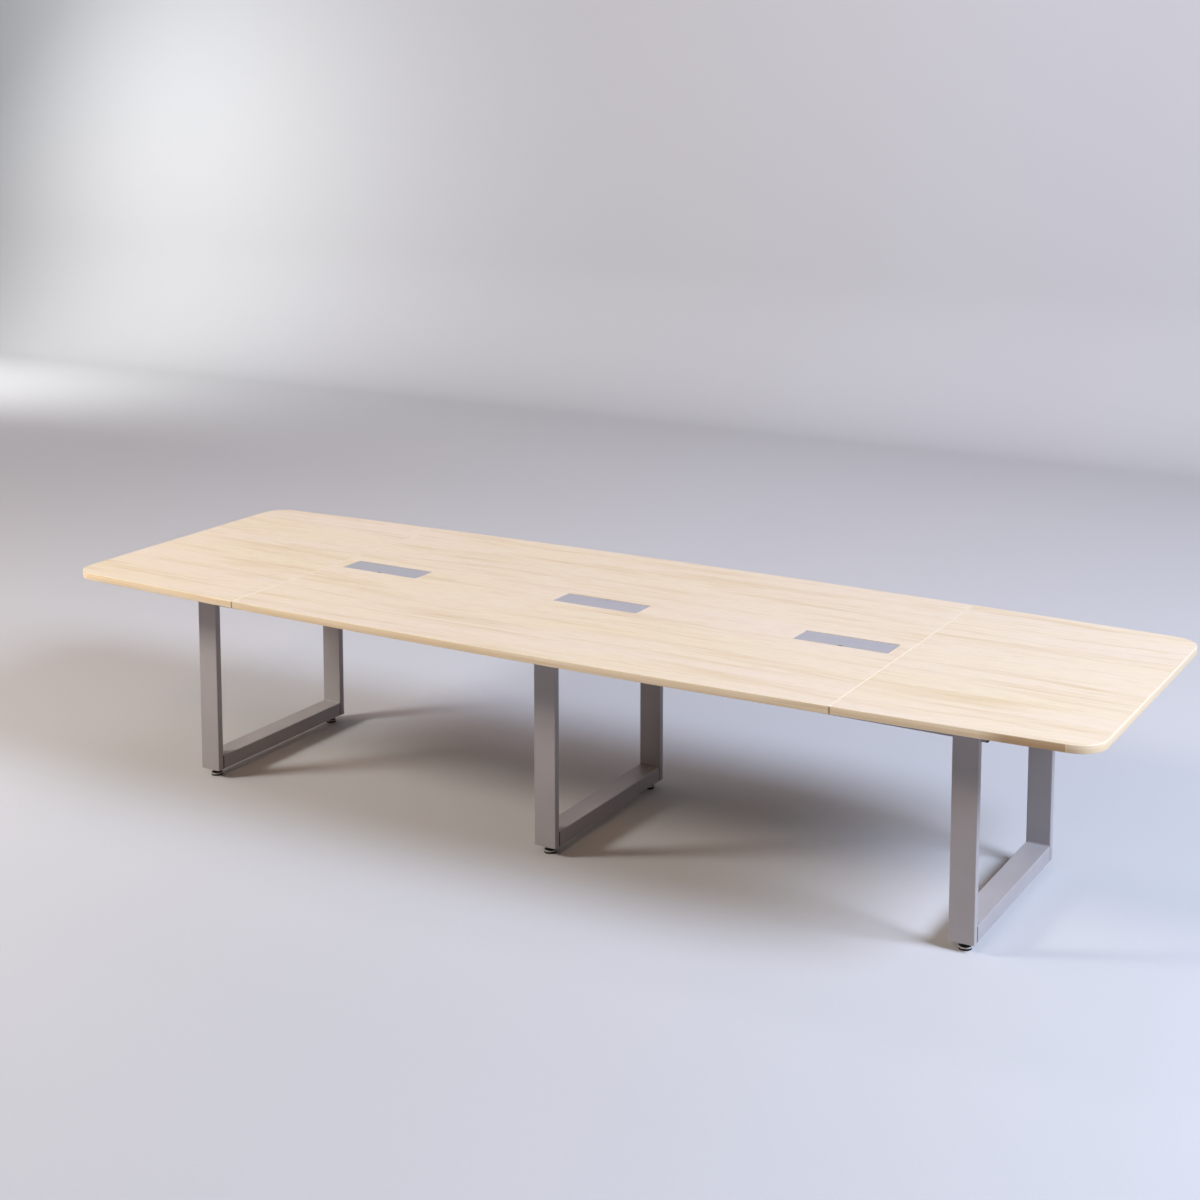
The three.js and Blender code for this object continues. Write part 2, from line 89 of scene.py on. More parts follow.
# %% [markdown]
# ## Working in code as by hand
#
# Blender's operators act on whatever is selected. These helpers do what a hand does first: clear the
# selection, pick one object, step into edit mode, and pick vertices by where they are.


# %% Selection helpers
def clear():
    """Leaves edit mode and deselects every object."""
    if bpy.context.object and bpy.context.object.mode != "OBJECT":
        bpy.ops.object.mode_set(mode="OBJECT")
    bpy.ops.object.select_all(action="DESELECT")


def pick(obj):
    """Makes obj the only selected object, and the active one."""
    clear()
    obj.select_set(True)
    bpy.context.view_layer.objects.active = obj
    return obj


def named(name):
    """Names the object that was just added."""
    obj = bpy.context.object
    obj.name = name
    obj.data.name = name
    return obj


def edit(obj, mode, wanted):
    """Enters edit mode with the vertices, edges or faces chosen that wanted(centre, direction) accepts."""
    pick(obj)
    bpy.ops.object.mode_set(mode="EDIT")
    bpy.ops.mesh.select_mode(type=mode)
    bpy.ops.mesh.select_all(action="DESELECT")
    bpy.ops.object.mode_set(mode="OBJECT")
    mesh = obj.data
    if mode == "FACE":
        for face in mesh.polygons:
            face.select = bool(wanted(face.center, face.normal))
    elif mode == "EDGE":
        for edge in mesh.edges:
            ends = [mesh.vertices[i].co for i in edge.vertices]
            edge.select = bool(wanted((ends[0] + ends[1]) / 2, ends[1] - ends[0]))
    else:
        for vertex in mesh.vertices:
            vertex.select = bool(wanted(vertex.co, vertex.normal))
    bpy.ops.object.mode_set(mode="EDIT")


def done(obj):
    """Leaves edit mode and puts the object's place into its mesh."""
    pick(obj)
    bpy.ops.object.transform_apply(location=True, rotation=True, scale=True)
    return obj


# %% [markdown]
# ## The studio
#
# The table stands on a seamless sweep: a floor that curves up into a wall, so that no line is seen
# where they meet. It could be two planes, but then the join would show. Here one plane is the floor,
# its rear edge is spun through a quarter circle, and the last edge is extruded upwards.

# %% Seamless sweep
SWEEP_WIDTH = 90.0
SWEEP_FRONT = -40.0
SWEEP_BEND = 6.6
SWEEP_RADIUS = 1.0
SWEEP_HEIGHT = 20.0

clear()
bpy.ops.mesh.primitive_plane_add(size=1, location=(0, 0, 0))
sweep = named("studio_sweep")
sweep.scale = (SWEEP_WIDTH, SWEEP_BEND - SWEEP_FRONT, 1)
sweep.location = (0, (SWEEP_BEND + SWEEP_FRONT) / 2, 0)
done(sweep)
edit(sweep, "EDGE", lambda centre, along: centre.y > SWEEP_BEND - 0.01 and abs(along.x) > 1)
bpy.ops.mesh.spin(steps=24, angle=math.pi / 2, center=(0, SWEEP_BEND, SWEEP_RADIUS), axis=(-1, 0, 0))
bpy.ops.mesh.extrude_region_move(TRANSFORM_OT_translate={"value": (0, 0, SWEEP_HEIGHT)})
bpy.ops.mesh.select_all(action="SELECT")
bpy.ops.mesh.normals_make_consistent(inside=False)
bpy.ops.object.mode_set(mode="OBJECT")
bpy.ops.object.shade_smooth()
print("sweep rises to", round(max(v.co.z for v in sweep.data.vertices), 2), "m")

# %% [markdown]
# ## Wires
#
# Shader maths reads best as maths. A Wire holds one socket. Adding, taking away, multiplying or
# dividing wires adds a Math node, and the reflected forms make `1 - mask` work. Every other node comes
# from one method: its settings are set first, then its sockets get their values or links.


# %% Wire
class Wire:
    """One shader socket, usable in sums."""

    def __init__(self, socket):
        self.socket = socket
        self.tree = socket.id_data

    @classmethod
    def node(cls, tree, kind, settings=None, sockets=None, output=0):
        made = tree.nodes.new("ShaderNode" + kind)
        for key, value in (settings or {}).items():
            if key == "stops":
                ramp = made.color_ramp.elements
                while len(ramp) < len(value):
                    ramp.new(0.5)
                for stop, (place, level) in zip(ramp, value):
                    stop.position = place
                    stop.color = (level, level, level, 1)
            else:
                setattr(made, key, value)
        for key, value in (sockets or {}).items():
            if isinstance(value, cls):
                tree.links.new(value.socket, made.inputs[key])
            else:
                made.inputs[key].default_value = value
        return cls(made.outputs[output])

    def maths(self, operation, first, second=0.0):
        return Wire.node(self.tree, "Math", {"operation": operation}, {0: first, 1: second})

    def __add__(self, other):
        return self.maths("ADD", self, other)

    __radd__ = __add__

    def __mul__(self, other):
        return self.maths("MULTIPLY", self, other)

    __rmul__ = __mul__

    def __sub__(self, other):
        return self.maths("SUBTRACT", self, other)

    def __rsub__(self, other):
        return self.maths("SUBTRACT", other, self)

    def __truediv__(self, other):
        return self.maths("DIVIDE", self, other)

    def __abs__(self):
        return self.maths("ABSOLUTE", self)

    def ramp(self, *stops):
        """This value read through a grey ramp of (place, level) stops."""
        return Wire.node(self.tree, "ValToRGB", {"stops": stops}, {0: self})

    def mix(self, first, second):
        """first where this value is 0 and second where it is 1; both are colours."""
        blend = {"data_type": "RGBA"}
        return Wire.node(self.tree, "Mix", blend, {0: self, 6: first, 7: second}, output=2)


def tone(text):
    """A colour written as in a paint chart, turned into Blender's linear values."""
    values = []
    for start in (1, 3, 5):
        part = int(text[start:start + 2], 16) / 255
        values.append(part / 12.92 if part <= 0.04045 else ((part + 0.055) / 1.055) ** 2.4)
    return (*values, 1.0)


def noise(tree, place, stretch, shift=(0, 0, 0), detail=2.0, roughness=0.5, distortion=0.0):
    """Noise over a place, packed more closely along the axes with a large stretch (patches per metre)."""
    laid = Wire.node(tree, "Mapping", {}, {"Vector": place, "Location": shift, "Scale": stretch})
    return Wire.node(tree, "TexNoise", {}, {
        "Vector": laid, "Scale": 1.0, "Detail": detail, "Roughness": roughness, "Distortion": distortion,
    })


def axes(tree, place):
    """The three coordinates of a place, each as a wire."""
    split = Wire.node(tree, "SeparateXYZ", {}, {0: place})
    return [Wire(socket) for socket in split.socket.node.outputs]


def new_material(name):
    """An empty material with its tree, its shader, and object coordinates."""
    material = bpy.data.materials.new(name)
    material.use_nodes = True
    tree = material.node_tree
    shader = tree.nodes["Principled BSDF"]
    place = Wire.node(tree, "TexCoord", output=3)
    return material, tree, shader, place


def feed(tree, shader, **wires):
    """Links wires to the shader's sockets; Base_Color stands for Base Color."""
    for key, wire in wires.items():
        tree.links.new(wire.socket, shader.inputs[key.replace("_", " ")])


def raise_bumps(tree, shader, height, depth):
    """Feeds a bump of a given depth in metres to the shader's normal."""
    bump = Wire.node(tree, "Bump", {}, {"Strength": 1.0, "Distance": depth, "Height": height})
    tree.links.new(bump.socket, shader.inputs["Normal"])


# %% [markdown]
# ## Light
#
# A large soft lamp stands to the right of the table and makes the long soft shadow to its left. A small
# one fills from the front left, a wide warm one glows from the far left, and a small warm one high in
# front brings out the colour of the band. Three more are there for the backdrop: the wall at the far
# left, the corner where the floor bends up, and the wall behind the table. One strong lamp and a bright
# room would be simpler, but the shadows would be grey and flat. So the world is only a dim warm grey,
# and each lamp has its own tint. Lamps aren't seen by the camera.

# %% Lamps and world
LAMPS = {
    "key": ((7.7, -0.65, 5.6), (0, 0, 0.3), 3.5, 1062, (0.76, 0.845, 1.0)),
    "fill": ((-4.45, -3.2, 3.35), (0, 0, 0.3), 1.25, 172, (1.0, 0.97, 0.88)),
    "left": ((-7.35, -2.3, 3.5), (0, 0, 0.3), 4.9, 158, (1.0, 0.74, 0.54)),
    "front": ((0.5, -5.5, 5.5), (0, 0, 0.3), 1.5, 62, (1.0, 0.64, 0.36)),
    "wall": ((-8.6, 4.2, 2.4), (-8.6, 7.6, 2.4), 1.2, 73, (0.97, 1.0, 0.95)),
    "corner": ((-10.4, 4.6, 2.2), (-8.3, 5.0, 0), 1.0, 57, (1.0, 0.93, 0.85)),
    "back": ((-1.5, 2.5, 6.5), (-1.5, 7.6, 1.2), 5.0, 109, (1.0, 0.87, 0.89)),
}
ROOM = tone("#403e3c")

for name, (where, aim, size, watts, colour) in LAMPS.items():
    lamp_data = bpy.data.lights.new(name + "_lamp", "AREA")
    lamp_data.shape = "DISK"
    lamp_data.size = size
    lamp_data.energy = watts
    lamp_data.color = colour
    lamp = bpy.data.objects.new(name + "_lamp", lamp_data)
    lamp.location = where
    lamp.rotation_euler = (Vector(aim) - Vector(where)).to_track_quat("-Z", "Y").to_euler()
    lamp.visible_camera = False
    bpy.context.scene.collection.objects.link(lamp)

world = bpy.data.worlds.new("studio")
world.use_nodes = True
bpy.context.scene.world = world
sky = world.node_tree
sky.nodes.clear()
room = Wire.node(sky, "Background", {}, {"Color": ROOM, "Strength": 1.0})
sky_output = sky.nodes.new("ShaderNodeOutputWorld")
sky.links.new(room.socket, sky_output.inputs["Surface"])
print(len(LAMPS), "lamps")

# %% [markdown]
# ## Floor paint
#
# The sweep is matt paint on board, with a very faint roller texture. A real one is graded by flagging
# the lamps; here the paint itself is graded, which is easier to steer. It gets paler towards the back,
# and darker on the right, where the main lamp would burn it out. Light that bounces off it meets a
# darker and warmer grey than the eye sees, so the shadows under the table stay deep and warm.


# %% Floor paint
def seen(tree):
    """1 for rays that show a surface, straight, mirrored or through glass; 0 for rays that light it."""
    camera_ray = Wire.node(tree, "LightPath", output=0)
    glossy_ray = Wire.node(tree, "LightPath", output=3)
    through_ray = Wire.node(tree, "LightPath", output=6)
    return camera_ray.maths("MAXIMUM", camera_ray, glossy_ray.maths("MAXIMUM", glossy_ray, through_ray))


GRADE_START = -1.6
GRADE_LENGTH = 6.6
SHADE_START = 2.4
SHADE_LENGTH = 2.4
NEAR_PAINT, FAR_PAINT = tone("#c5c7ce"), tone("#dddfe6")
SHADED_PAINT, BOUNCE_PAINT = tone("#a2a4ab"), tone("#aca9a8")

material, tree, shader, place = new_material("sweep_paint")
roller = noise(tree, place, (90, 90, 90), detail=3)
across, depth = axes(tree, place)[:2]
graded = ((depth - GRADE_START) / GRADE_LENGTH).ramp((0, 0), (1, 1))
shaded = ((across - SHADE_START) / SHADE_LENGTH).ramp((0, 0), (1, 1))
paint = (0.85 * graded + 0.15 * roller).mix(NEAR_PAINT, FAR_PAINT)
paint = shaded.mix(paint, SHADED_PAINT)
feed(tree, shader, Base_Color=seen(tree).mix(BOUNCE_PAINT, paint))
shader.inputs["Roughness"].default_value = 0.75
shader.inputs["Specular IOR Level"].default_value = 0.2
sweep.data.materials.append(material)
print("painted", sweep.name)

# %% [markdown]
# ## Woodgrain
#
# The top is board with a pale maple print. Grain is mostly one idea at several sizes: noise that is
# stretched along the board. A slow sway bends all of it a little, as trees don't grow straight. The
# widest noise drifts between a pinkish and a yellowish cream. A broad figure and a fine feather are
# added up into tan flames, and short flecks, hair-fine lines and pores come last. One photograph of
# maple would repeat from board to board. Noise doesn't, and each board has its own shift, because no
# two panels are cut from the same place. The walls of the hatch cut-outs lie between the two faces, so
# their height picks them out, and they get the plain cream of a sealed edge. The underside has the
# plain tan backing that keeps such a board from warping.


# %% Woodgrain
SWAY = 0.07
BOARD_BACK, BOARD_FACE = (corner.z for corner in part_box("centre_top_board"))
SKIN_INNER = 0.0003
SKIN_OUTER = 0.0001


def woodgrain(name, shift):
    """The maple print for one board, its pattern moved by a shift of its own."""
    material, tree, shader, place = new_material(name)
    along, across, height = axes(tree, place)
    sway = noise(tree, place, (1.0, 2.2, 0), shift, detail=1)
    laid = Wire.node(tree, "CombineXYZ", {}, {0: along, 1: across + SWAY * sway})
    drift = noise(tree, laid, (0.7, 3.6, 0), shift, detail=3, distortion=0.6).ramp((0.34, 0), (0.66, 1))
    feather = noise(tree, laid, (3.4, 74.0, 0), shift, detail=3)
    figure = noise(tree, laid, (1.2, 16.0, 0), shift, detail=4, distortion=0.5)
    flames = (0.62 * figure + 0.38 * feather).ramp((0.49, 0), (0.67, 1))
    flecks = noise(tree, laid, (14.0, 150.0, 0), shift, detail=2).ramp((0.50, 0), (0.72, 1))
    hairs = noise(tree, laid, (7.0, 420.0, 0), shift, detail=2).ramp((0.35, 0), (0.75, 1))
    pores = noise(tree, laid, (55.0, 1300.0, 0), shift, detail=1).ramp((0.62, 0), (0.72, 1))
    colour = drift.mix(tone("#f2e1d0"), tone("#f1e1c6"))
    colour = (flames * 0.64).mix(colour, tone("#d8bd8d"))
    colour = (flecks * 0.30).mix(colour, tone("#d6be97"))
    colour = (hairs * 0.12).mix(colour, tone("#b99c74"))
    colour = (pores * 0.2).mix(colour, tone("#a98b62"))
    below_face = height.ramp((BOARD_FACE - SKIN_INNER, 1), (BOARD_FACE - SKIN_OUTER, 0))
    above_back = height.ramp((BOARD_BACK + SKIN_OUTER, 0), (BOARD_BACK + SKIN_INNER, 1))
    backing = (0.3 * feather).mix(tone("#b9905f"), tone("#a37c4e"))
    colour = (below_face * above_back).mix(colour, tone("#f1e2c6"))
    colour = above_back.mix(backing, colour)
    feed(tree, shader, Base_Color=colour, Roughness=0.40 + 0.10 * hairs)
    raise_bumps(tree, shader, 1 - hairs * 0.6 - pores * 0.4, 0.00004)
    return material


BOARD_SHIFTS = {"left": (3.1, 1.7, 0), "centre": (0, 0, 0), "right": (-4.3, 2.2, 0)}
for side, shift in BOARD_SHIFTS.items():
    nodes[side + "_top_board"].data.materials.clear()
    nodes[side + "_top_board"].data.materials.append(woodgrain(side + "_woodgrain", shift))
print("woodgrain on", ", ".join(BOARD_SHIFTS), "boards")

# %% [markdown]
# ## Edge bands
#
# A thin band with the same print is glued round each board, and its two edges are rounded over. The
# CAD solids have that shape, but their rounded corners are facets, and the print has to run along the
# band and round the corner. A pattern on object coordinates would smear across the end of the table.
# So each band is copied, its loose triangles are merged and shaded smoothly, and every vertex is told
# how far along the edge it lies. The paint reads that length from the mesh. Bands come off a roll, so
# they are striped lengthwise and change as they run: before the right front corner there is a brown
# stretch. From there on round the end the strip is painted a shade deeper, as painted shade that holds
# down the end where the big lamp on the right falls full on it. At each seam a thin dark line is painted
# shade of the gap between two bands, and a pale line along the top arris is a painted highlight.

# %% Edge bands
END_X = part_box("right_edge_band")[1].x
CORNER_RADIUS = 0.09
CORNER_X = END_X - CORNER_RADIUS
CORNER_Y = 0.4834
HALF_END = CORNER_X + CORNER_RADIUS * math.pi / 2 + CORNER_Y
SEAM_X = (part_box("centre_edge_band")[1].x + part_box("right_edge_band")[0].x) / 2
STARTS = {"left": 9.0, "centre": 0.0, "right": 21.0}
BROWN_START = STARTS["right"] + 1.52
BROWN_LENGTH = 0.24
END_START = BROWN_START + BROWN_LENGTH
END_BLEND = 0.001
CREASE_INNER = 0.0012
CREASE_OUTER = 0.0020
ARRIS_LOW = 0.0022
ARRIS_HIGH = 0.0012


def along_edge(spot):
    """How far along its board's edge a point lies, from the near side's middle round to the far side."""
    out, across = abs(spot.x) - CORNER_X, abs(spot.y) - CORNER_Y
    if out <= 0:
        length = abs(spot.x)
    elif across >= 0:
        length = CORNER_X + CORNER_RADIUS * math.atan2(out, across)
    else:
        length = HALF_END - abs(spot.y)
    return length if spot.y < 0 else 2 * HALF_END - length


def copy_node(node, name, angle=30):
    """A smooth copy of a CAD node: its triangles merged, its flat stretches joined, its bends shaded."""
    clear()
    made = bpy.data.objects.new(name, nodes[node].data.copy())
    bpy.context.scene.collection.objects.link(made)
    edit(made, "VERT", lambda spot, normal: True)
    bpy.ops.mesh.remove_doubles(threshold=0.00001)
    bpy.ops.mesh.dissolve_limited(angle_limit=math.radians(0.05))
    bpy.ops.object.mode_set(mode="OBJECT")
    bpy.ops.object.shade_smooth_by_angle(angle=math.radians(angle))
    made.data.materials.clear()
    return made


def band_print(name):
    """The print of the edge band, laid by the length along it and the height."""
    material, tree, shader, place = new_material(name)
    out, height = axes(tree, place)[::2]
    along = Wire.node(tree, "Attribute", {"attribute_name": "along"}, output=2)
    laid = Wire.node(tree, "CombineXYZ", {}, {0: along, 2: height})
    drift = noise(tree, laid, (1.6, 0, 60.0), detail=2).ramp((0.35, 0), (0.65, 1))
    stripes = noise(tree, laid, (0.9, 0, 130.0), detail=2, distortion=0.3).ramp((0.42, 0), (0.62, 1))
    grain = noise(tree, laid, (4.0, 0, 420.0), detail=3, distortion=0.4).ramp((0.4, 0), (0.72, 1))
    hairs = noise(tree, laid, (20.0, 0, 1600.0), detail=1).ramp((0.4, 0), (0.8, 1))
    colour = drift.mix(tone("#fdeed6"), tone("#fae7c8"))
    # painted shade: from END_START on round the end the print is a shade deeper, to hold down the lit end
    end_painted_shade = (along - END_START + END_BLEND).ramp((0, 0), (END_BLEND, 1))
    colour = end_painted_shade.mix(colour, tone("#e3d2b8"))
    colour = (stripes * 0.35).mix(colour, tone("#e0bd8a"))
    colour = (grain * 0.2).mix(colour, tone("#d3aa70"))
    colour = (hairs * 0.12).mix(colour, tone("#b9935f"))
    brown = ((along - BROWN_START) / BROWN_LENGTH).ramp((0.0, 0), (0.3, 1), (0.996, 1), (1.0, 0))
    colour = (brown * 0.7).mix(colour, tone("#a98150"))
    # painted shade: a thin dark line either side of each seam stands for the shade in the gap between
    # bands
    painted_crease_shade = abs(abs(out) - SEAM_X).ramp((CREASE_INNER, 1), (CREASE_OUTER, 0))
    colour = painted_crease_shade.mix(colour, tone("#7d6342"))
    # painted highlight: a pale line along the rounded top arris of the band
    painted_arris_highlight = height.ramp((BOARD_FACE - ARRIS_LOW, 0), (BOARD_FACE - ARRIS_HIGH, 1))
    colour = painted_arris_highlight.mix(colour, tone("#f7ead2"))
    feed(tree, shader, Base_Color=colour, Roughness=0.38 + 0.12 * grain)
    raise_bumps(tree, shader, 1 - hairs * 0.5, 0.00003)
    return material


edge_print = band_print("edge_print")
for side in ("left", "centre", "right"):
    band = copy_node(side + "_edge_band", side + "_banding")
    along = band.data.attributes.new("along", "FLOAT", "POINT")
    for vertex in band.data.vertices:
        length = vertex.co.x if side == "centre" else along_edge(vertex.co)
        along.data[vertex.index].value = length + STARTS[side]
    band.data.materials.append(edge_print)
    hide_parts(side + "_edge_band")
    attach(band, "table")
    print(band.name, len(band.data.polygons), "faces")

# %% [markdown]
# ## Metal and plastic
#
# The leg frames are powder coated: a satin grey with the slight orange peel of baked powder and a
# sparkle of fine flakes. The trays have a darker, finer coat. Where a floor rail meets its posts the
# coat has painted shade: a dark line laid by the distance from the middle of the table stands for the
# shade in the crease of the joint, as a groove that fine would take more faces than the whole rail.

# %% Coated steel
JOINT_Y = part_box("middle_floor_rail")[1].y
JOINT_CLEAR = 0.0028
JOINT_DARK = 0.0016


def coat(name, pale, dark, grit, roughness, joint=None):
    """Baked powder; grit is the fineness of its orange peel and joint the depth of a crease in painted
    shade.
    """
    material, tree, shader, place = new_material(name)
    peel = noise(tree, place, (grit, grit, grit), detail=2)
    flakes = noise(tree, place, (3000, 3000, 3000), detail=0).ramp((0.55, 0), (0.75, 1))
    clouds = noise(tree, place, (5, 5, 5), detail=3).ramp((0.3, 0), (0.7, 1))
    colour = (clouds * 0.5 + flakes * 0.5).mix(tone(dark), tone(pale))
    if joint:
        depth = abs(axes(tree, place)[1])
        # painted shade: dark in the crease where the rail meets a post
        painted_crease_shade = depth.ramp((joint - JOINT_CLEAR, 0), (joint - JOINT_DARK, 1))
        colour = painted_crease_shade.mix(colour, tone("#1e1c1e"))
    feed(tree, shader, Base_Color=colour, Roughness=roughness + 0.1 * peel)
    raise_bumps(tree, shader, peel, 0.00008)
    shader.inputs["Metallic"].default_value = 0.1
    shader.inputs["Specular IOR Level"].default_value = 0.35
    return material


frame_coat = coat("frame_coat", "#bab6bb", "#a9a5aa", 900, 0.42)
rail_coat = coat("rail_coat", "#bab6bb", "#a9a5aa", 900, 0.42, JOINT_Y)
tray_coat = coat("tray_coat", "#5c5c62", "#505056", 1400, 0.5)
print("coats:", frame_coat.name, rail_coat.name, tray_coat.name)

# %% [markdown]
# The lids are aluminium, brushed along their length, so their noise is drawn out into fine lines that
# also break up the gloss. Screws and pins are zinc plated, the foot stems are blackened, and both show
# a faint spangle. The plastics and the rubber are moulded, with the fine spark texture of their moulds.


# %% Brushed aluminium, zinc and plastics
def brushed(name):
    """Aluminium with its brushing along x."""
    material, tree, shader, place = new_material(name)
    brush = noise(tree, place, (7, 2600, 2600), detail=3)
    wide = noise(tree, place, (3, 260, 260), detail=2)
    colour = (0.6 * brush + 0.4 * wide).ramp((0.35, 0), (0.65, 1)).mix(tone("#cacbd4"), tone("#d9dae2"))
    feed(tree, shader, Base_Color=colour, Roughness=0.44 + 0.16 * brush)
    raise_bumps(tree, shader, brush, 0.00002)
    shader.inputs["Metallic"].default_value = 0.75
    return material


def plated(name, pale, dark):
    """A plated or blackened steel."""
    material, tree, shader, place = new_material(name)
    spangle = noise(tree, place, (420, 420, 420), detail=2)
    fine = noise(tree, place, (2600, 2600, 2600), detail=1)
    colour = spangle.ramp((0.35, 0), (0.65, 1)).mix(tone(dark), tone(pale))
    feed(tree, shader, Base_Color=colour, Roughness=0.26 + 0.2 * spangle)
    raise_bumps(tree, shader, fine, 0.00002)
    shader.inputs["Metallic"].default_value = 1.0
    return material


def moulded(name, pale, dark, roughness):
    """A plastic or a rubber out of a spark-finished mould."""
    material, tree, shader, place = new_material(name)
    spark = noise(tree, place, (1800, 1800, 1800), detail=2)
    scuff = noise(tree, place, (60, 60, 240), detail=3).ramp((0.5, 0), (0.8, 1))
    colour = (0.7 * spark + 0.3 * scuff).mix(tone(dark), tone(pale))
    feed(tree, shader, Base_Color=colour, Roughness=roughness + 0.15 * spark)
    raise_bumps(tree, shader, spark, 0.00004)
    return material


lid_metal = brushed("brushed_aluminium")
plating = plated("zinc_plating", "#cfd0d3", "#b3b4b6")
black_steel = plated("blackened_steel", "#4b4a4c", "#39383a")
cap_plastic = moulded("black_plastic", "#2e2e32", "#222226", 0.45)
pad_plastic = moulded("grey_plastic", "#dedbd6", "#cfccc8", 0.4)
sole_rubber = moulded("black_rubber", "#1c1c1e", "#131314", 0.6)
print("metals:", lid_metal.name, plating.name, black_steel.name)

# %% [markdown]
# The record says which slot each node's finish comes from, so the finishes are handed out by slot. The
# floor rails get the coat with the painted shade of the crease where they meet the posts.

# %% Hand out the finishes
SLOT_FINISH = {
    "frame": frame_coat, "tray": tray_coat, "lid": lid_metal,
    "steel": plating, "cap": cap_plastic, "pad": pad_plastic,
}
painted = 0
for row in frame["record"]["subparts"]:
    finish = SLOT_FINISH.get(row["material_slot"])
    if finish is None:
        continue
    if row["node"].endswith("floor_rail"):
        finish = rail_coat
    nodes[row["node"]].data.materials.clear()
    nodes[row["node"]].data.materials.append(finish)
    painted += 1
print(painted, "nodes finished by slot")

# %% [markdown]
# ## Levelling feet
#
# Under each end of a floor rail a foot screws up into the tube. The real thing has three parts: a black
# rubber sole that grips the floor, a plastic pad with a black hub in a grey ring, and a blackened stem
# whose ball end snaps into the hub. Round parts like these are turned, so two helpers work like a
# lathe: one draws a line by extruding a single vertex, and the other spins it about the upright axis.
# A part is made once, in the middle of the floor, and then copied to its six places.


# %% Lathe, cutter and copier
def draw(name, points):
    """An open line of (radius, height) points, drawn by extruding one vertex; stays in edit mode."""
    clear()
    bpy.ops.mesh.primitive_plane_add(size=0.001)
    made = named(name)
    edit(made, "VERT", lambda spot, normal: True)
    bpy.ops.mesh.merge(type="CENTER")
    bpy.ops.transform.translate(value=(points[0][0], 0, points[0][1]))
    for (radius, height), (next_radius, next_height) in zip(points, points[1:]):
        step = (next_radius - radius, 0, next_height - height)
        bpy.ops.mesh.extrude_region_move(TRANSFORM_OT_translate={"value": step})
    return made


def close_up(made):
    """Merges the seams of a spun or screwed piece, faces it outwards and leaves edit mode."""
    bpy.ops.mesh.select_all(action="SELECT")
    bpy.ops.mesh.remove_doubles(threshold=0.000002)
    bpy.ops.mesh.normals_make_consistent(inside=False)
    bpy.ops.object.mode_set(mode="OBJECT")
    return made


def lathe(name, points, steps=40):
    """A piece turned about the upright axis from a line that starts and ends on it."""
    made = draw(name, points)
    bpy.ops.mesh.select_all(action="SELECT")
    bpy.ops.mesh.spin(steps=steps, angle=2 * math.pi, center=(0, 0, 0), axis=(0, 0, 1))
    return close_up(made)


def combine(obj, tool, operation):
    """Joins a tool to an object, or cuts it away, and removes the tool."""
    pick(obj)
    change = obj.modifiers.new("combine", "BOOLEAN")
    change.operation = operation
    change.object = tool
    bpy.ops.object.modifier_apply(modifier=change.name)
    bpy.data.objects.remove(tool)


def soften(obj, width, segments=2, angle=30):
    """Rounds the sharp edges and shades the bends."""
    pick(obj)
    change = obj.modifiers.new("soften", "BEVEL")
    change.width = width
    change.segments = segments
    change.limit_method = "ANGLE"
    change.angle_limit = math.radians(angle)
    bpy.ops.object.modifier_apply(modifier=change.name)
    bpy.ops.object.shade_smooth_by_angle(angle=math.radians(angle))


def copy_to(model, name, where, turned=(0, 0, 0)):
    """A copy of a piece with a mesh of its own, put in its place."""
    pick(model)
    bpy.ops.object.duplicate(linked=False)
    made = named(name)
    made.location = where
    made.rotation_euler = turned
    return done(made)


# %% [markdown]
# The sole is a thick rubber disc, hollowed below so that it stands on its rim. The pad is turned: a
# cylindrical skirt, a shoulder that slopes up to the hub, and a round socket for the ball. Shoulder and
# hub are black, so their faces get a second finish; the skirt stays as the grey ring.

# %% Foot sole and pad
SOLE_RADIUS = 0.0200
SOLE_HEIGHT = 0.0055
SOLE_RIM = 0.0040
SOLE_HOLLOW = 0.0012
SKIRT_RADIUS = 0.0195
SKIRT_TOP = 0.0108
RING_EDGE = 0.0004
HUB_RADIUS = 0.0082
HUB_TOP = 0.0165
SHOULDER_RADIUS = HUB_RADIUS + 0.0030
SHOULDER_TOP = 0.0135
SOCKET_RADIUS = 0.0054
SOCKET_FLOOR = 0.0070
SOLE_ROUND = 0.0007
PAD_ROUND = 0.0006

clear()
bpy.ops.mesh.primitive_cylinder_add(vertices=48, radius=SOLE_RADIUS, depth=SOLE_HEIGHT)
sole = named("foot_sole")
sole.location.z = SOLE_HEIGHT / 2
done(sole)
edit(sole, "FACE", lambda centre, normal: normal.z < -0.9)
bpy.ops.mesh.inset(thickness=SOLE_RIM)
bpy.ops.mesh.extrude_region_move(TRANSFORM_OT_translate={"value": (0, 0, SOLE_HOLLOW)})
soften(sole, SOLE_ROUND)
sole.data.materials.append(sole_rubber)

pad = lathe("foot_pad", [
    (0, SOLE_HEIGHT), (SKIRT_RADIUS, SOLE_HEIGHT), (SKIRT_RADIUS, SKIRT_TOP),
    (SHOULDER_RADIUS, SHOULDER_TOP), (HUB_RADIUS, HUB_TOP),
    (SOCKET_RADIUS, HUB_TOP), (SOCKET_RADIUS, SOCKET_FLOOR), (0, SOCKET_FLOOR),
])
soften(pad, PAD_ROUND)
pad.data.materials.append(pad_plastic)
pad.data.materials.append(cap_plastic)
edit(pad, "FACE", lambda centre, normal: centre.z > SKIRT_TOP - RING_EDGE)
pad.active_material_index = 1
bpy.ops.object.material_slot_assign()
bpy.ops.object.mode_set(mode="OBJECT")
print("sole", len(sole.data.polygons), "faces, pad", len(pad.data.polygons), "faces")

# %% [markdown]
# The stem is an M8 screw with a hexagon collar for the spanner. Its thread is a real one, since it
# shows when the foot is screwed out: one tooth is drawn and the Screw modifier winds it up the axis,
# one pitch to a turn, right-handed. The ragged ends are cut off flat, and the ball, the collar and
# the screw are joined into one piece.

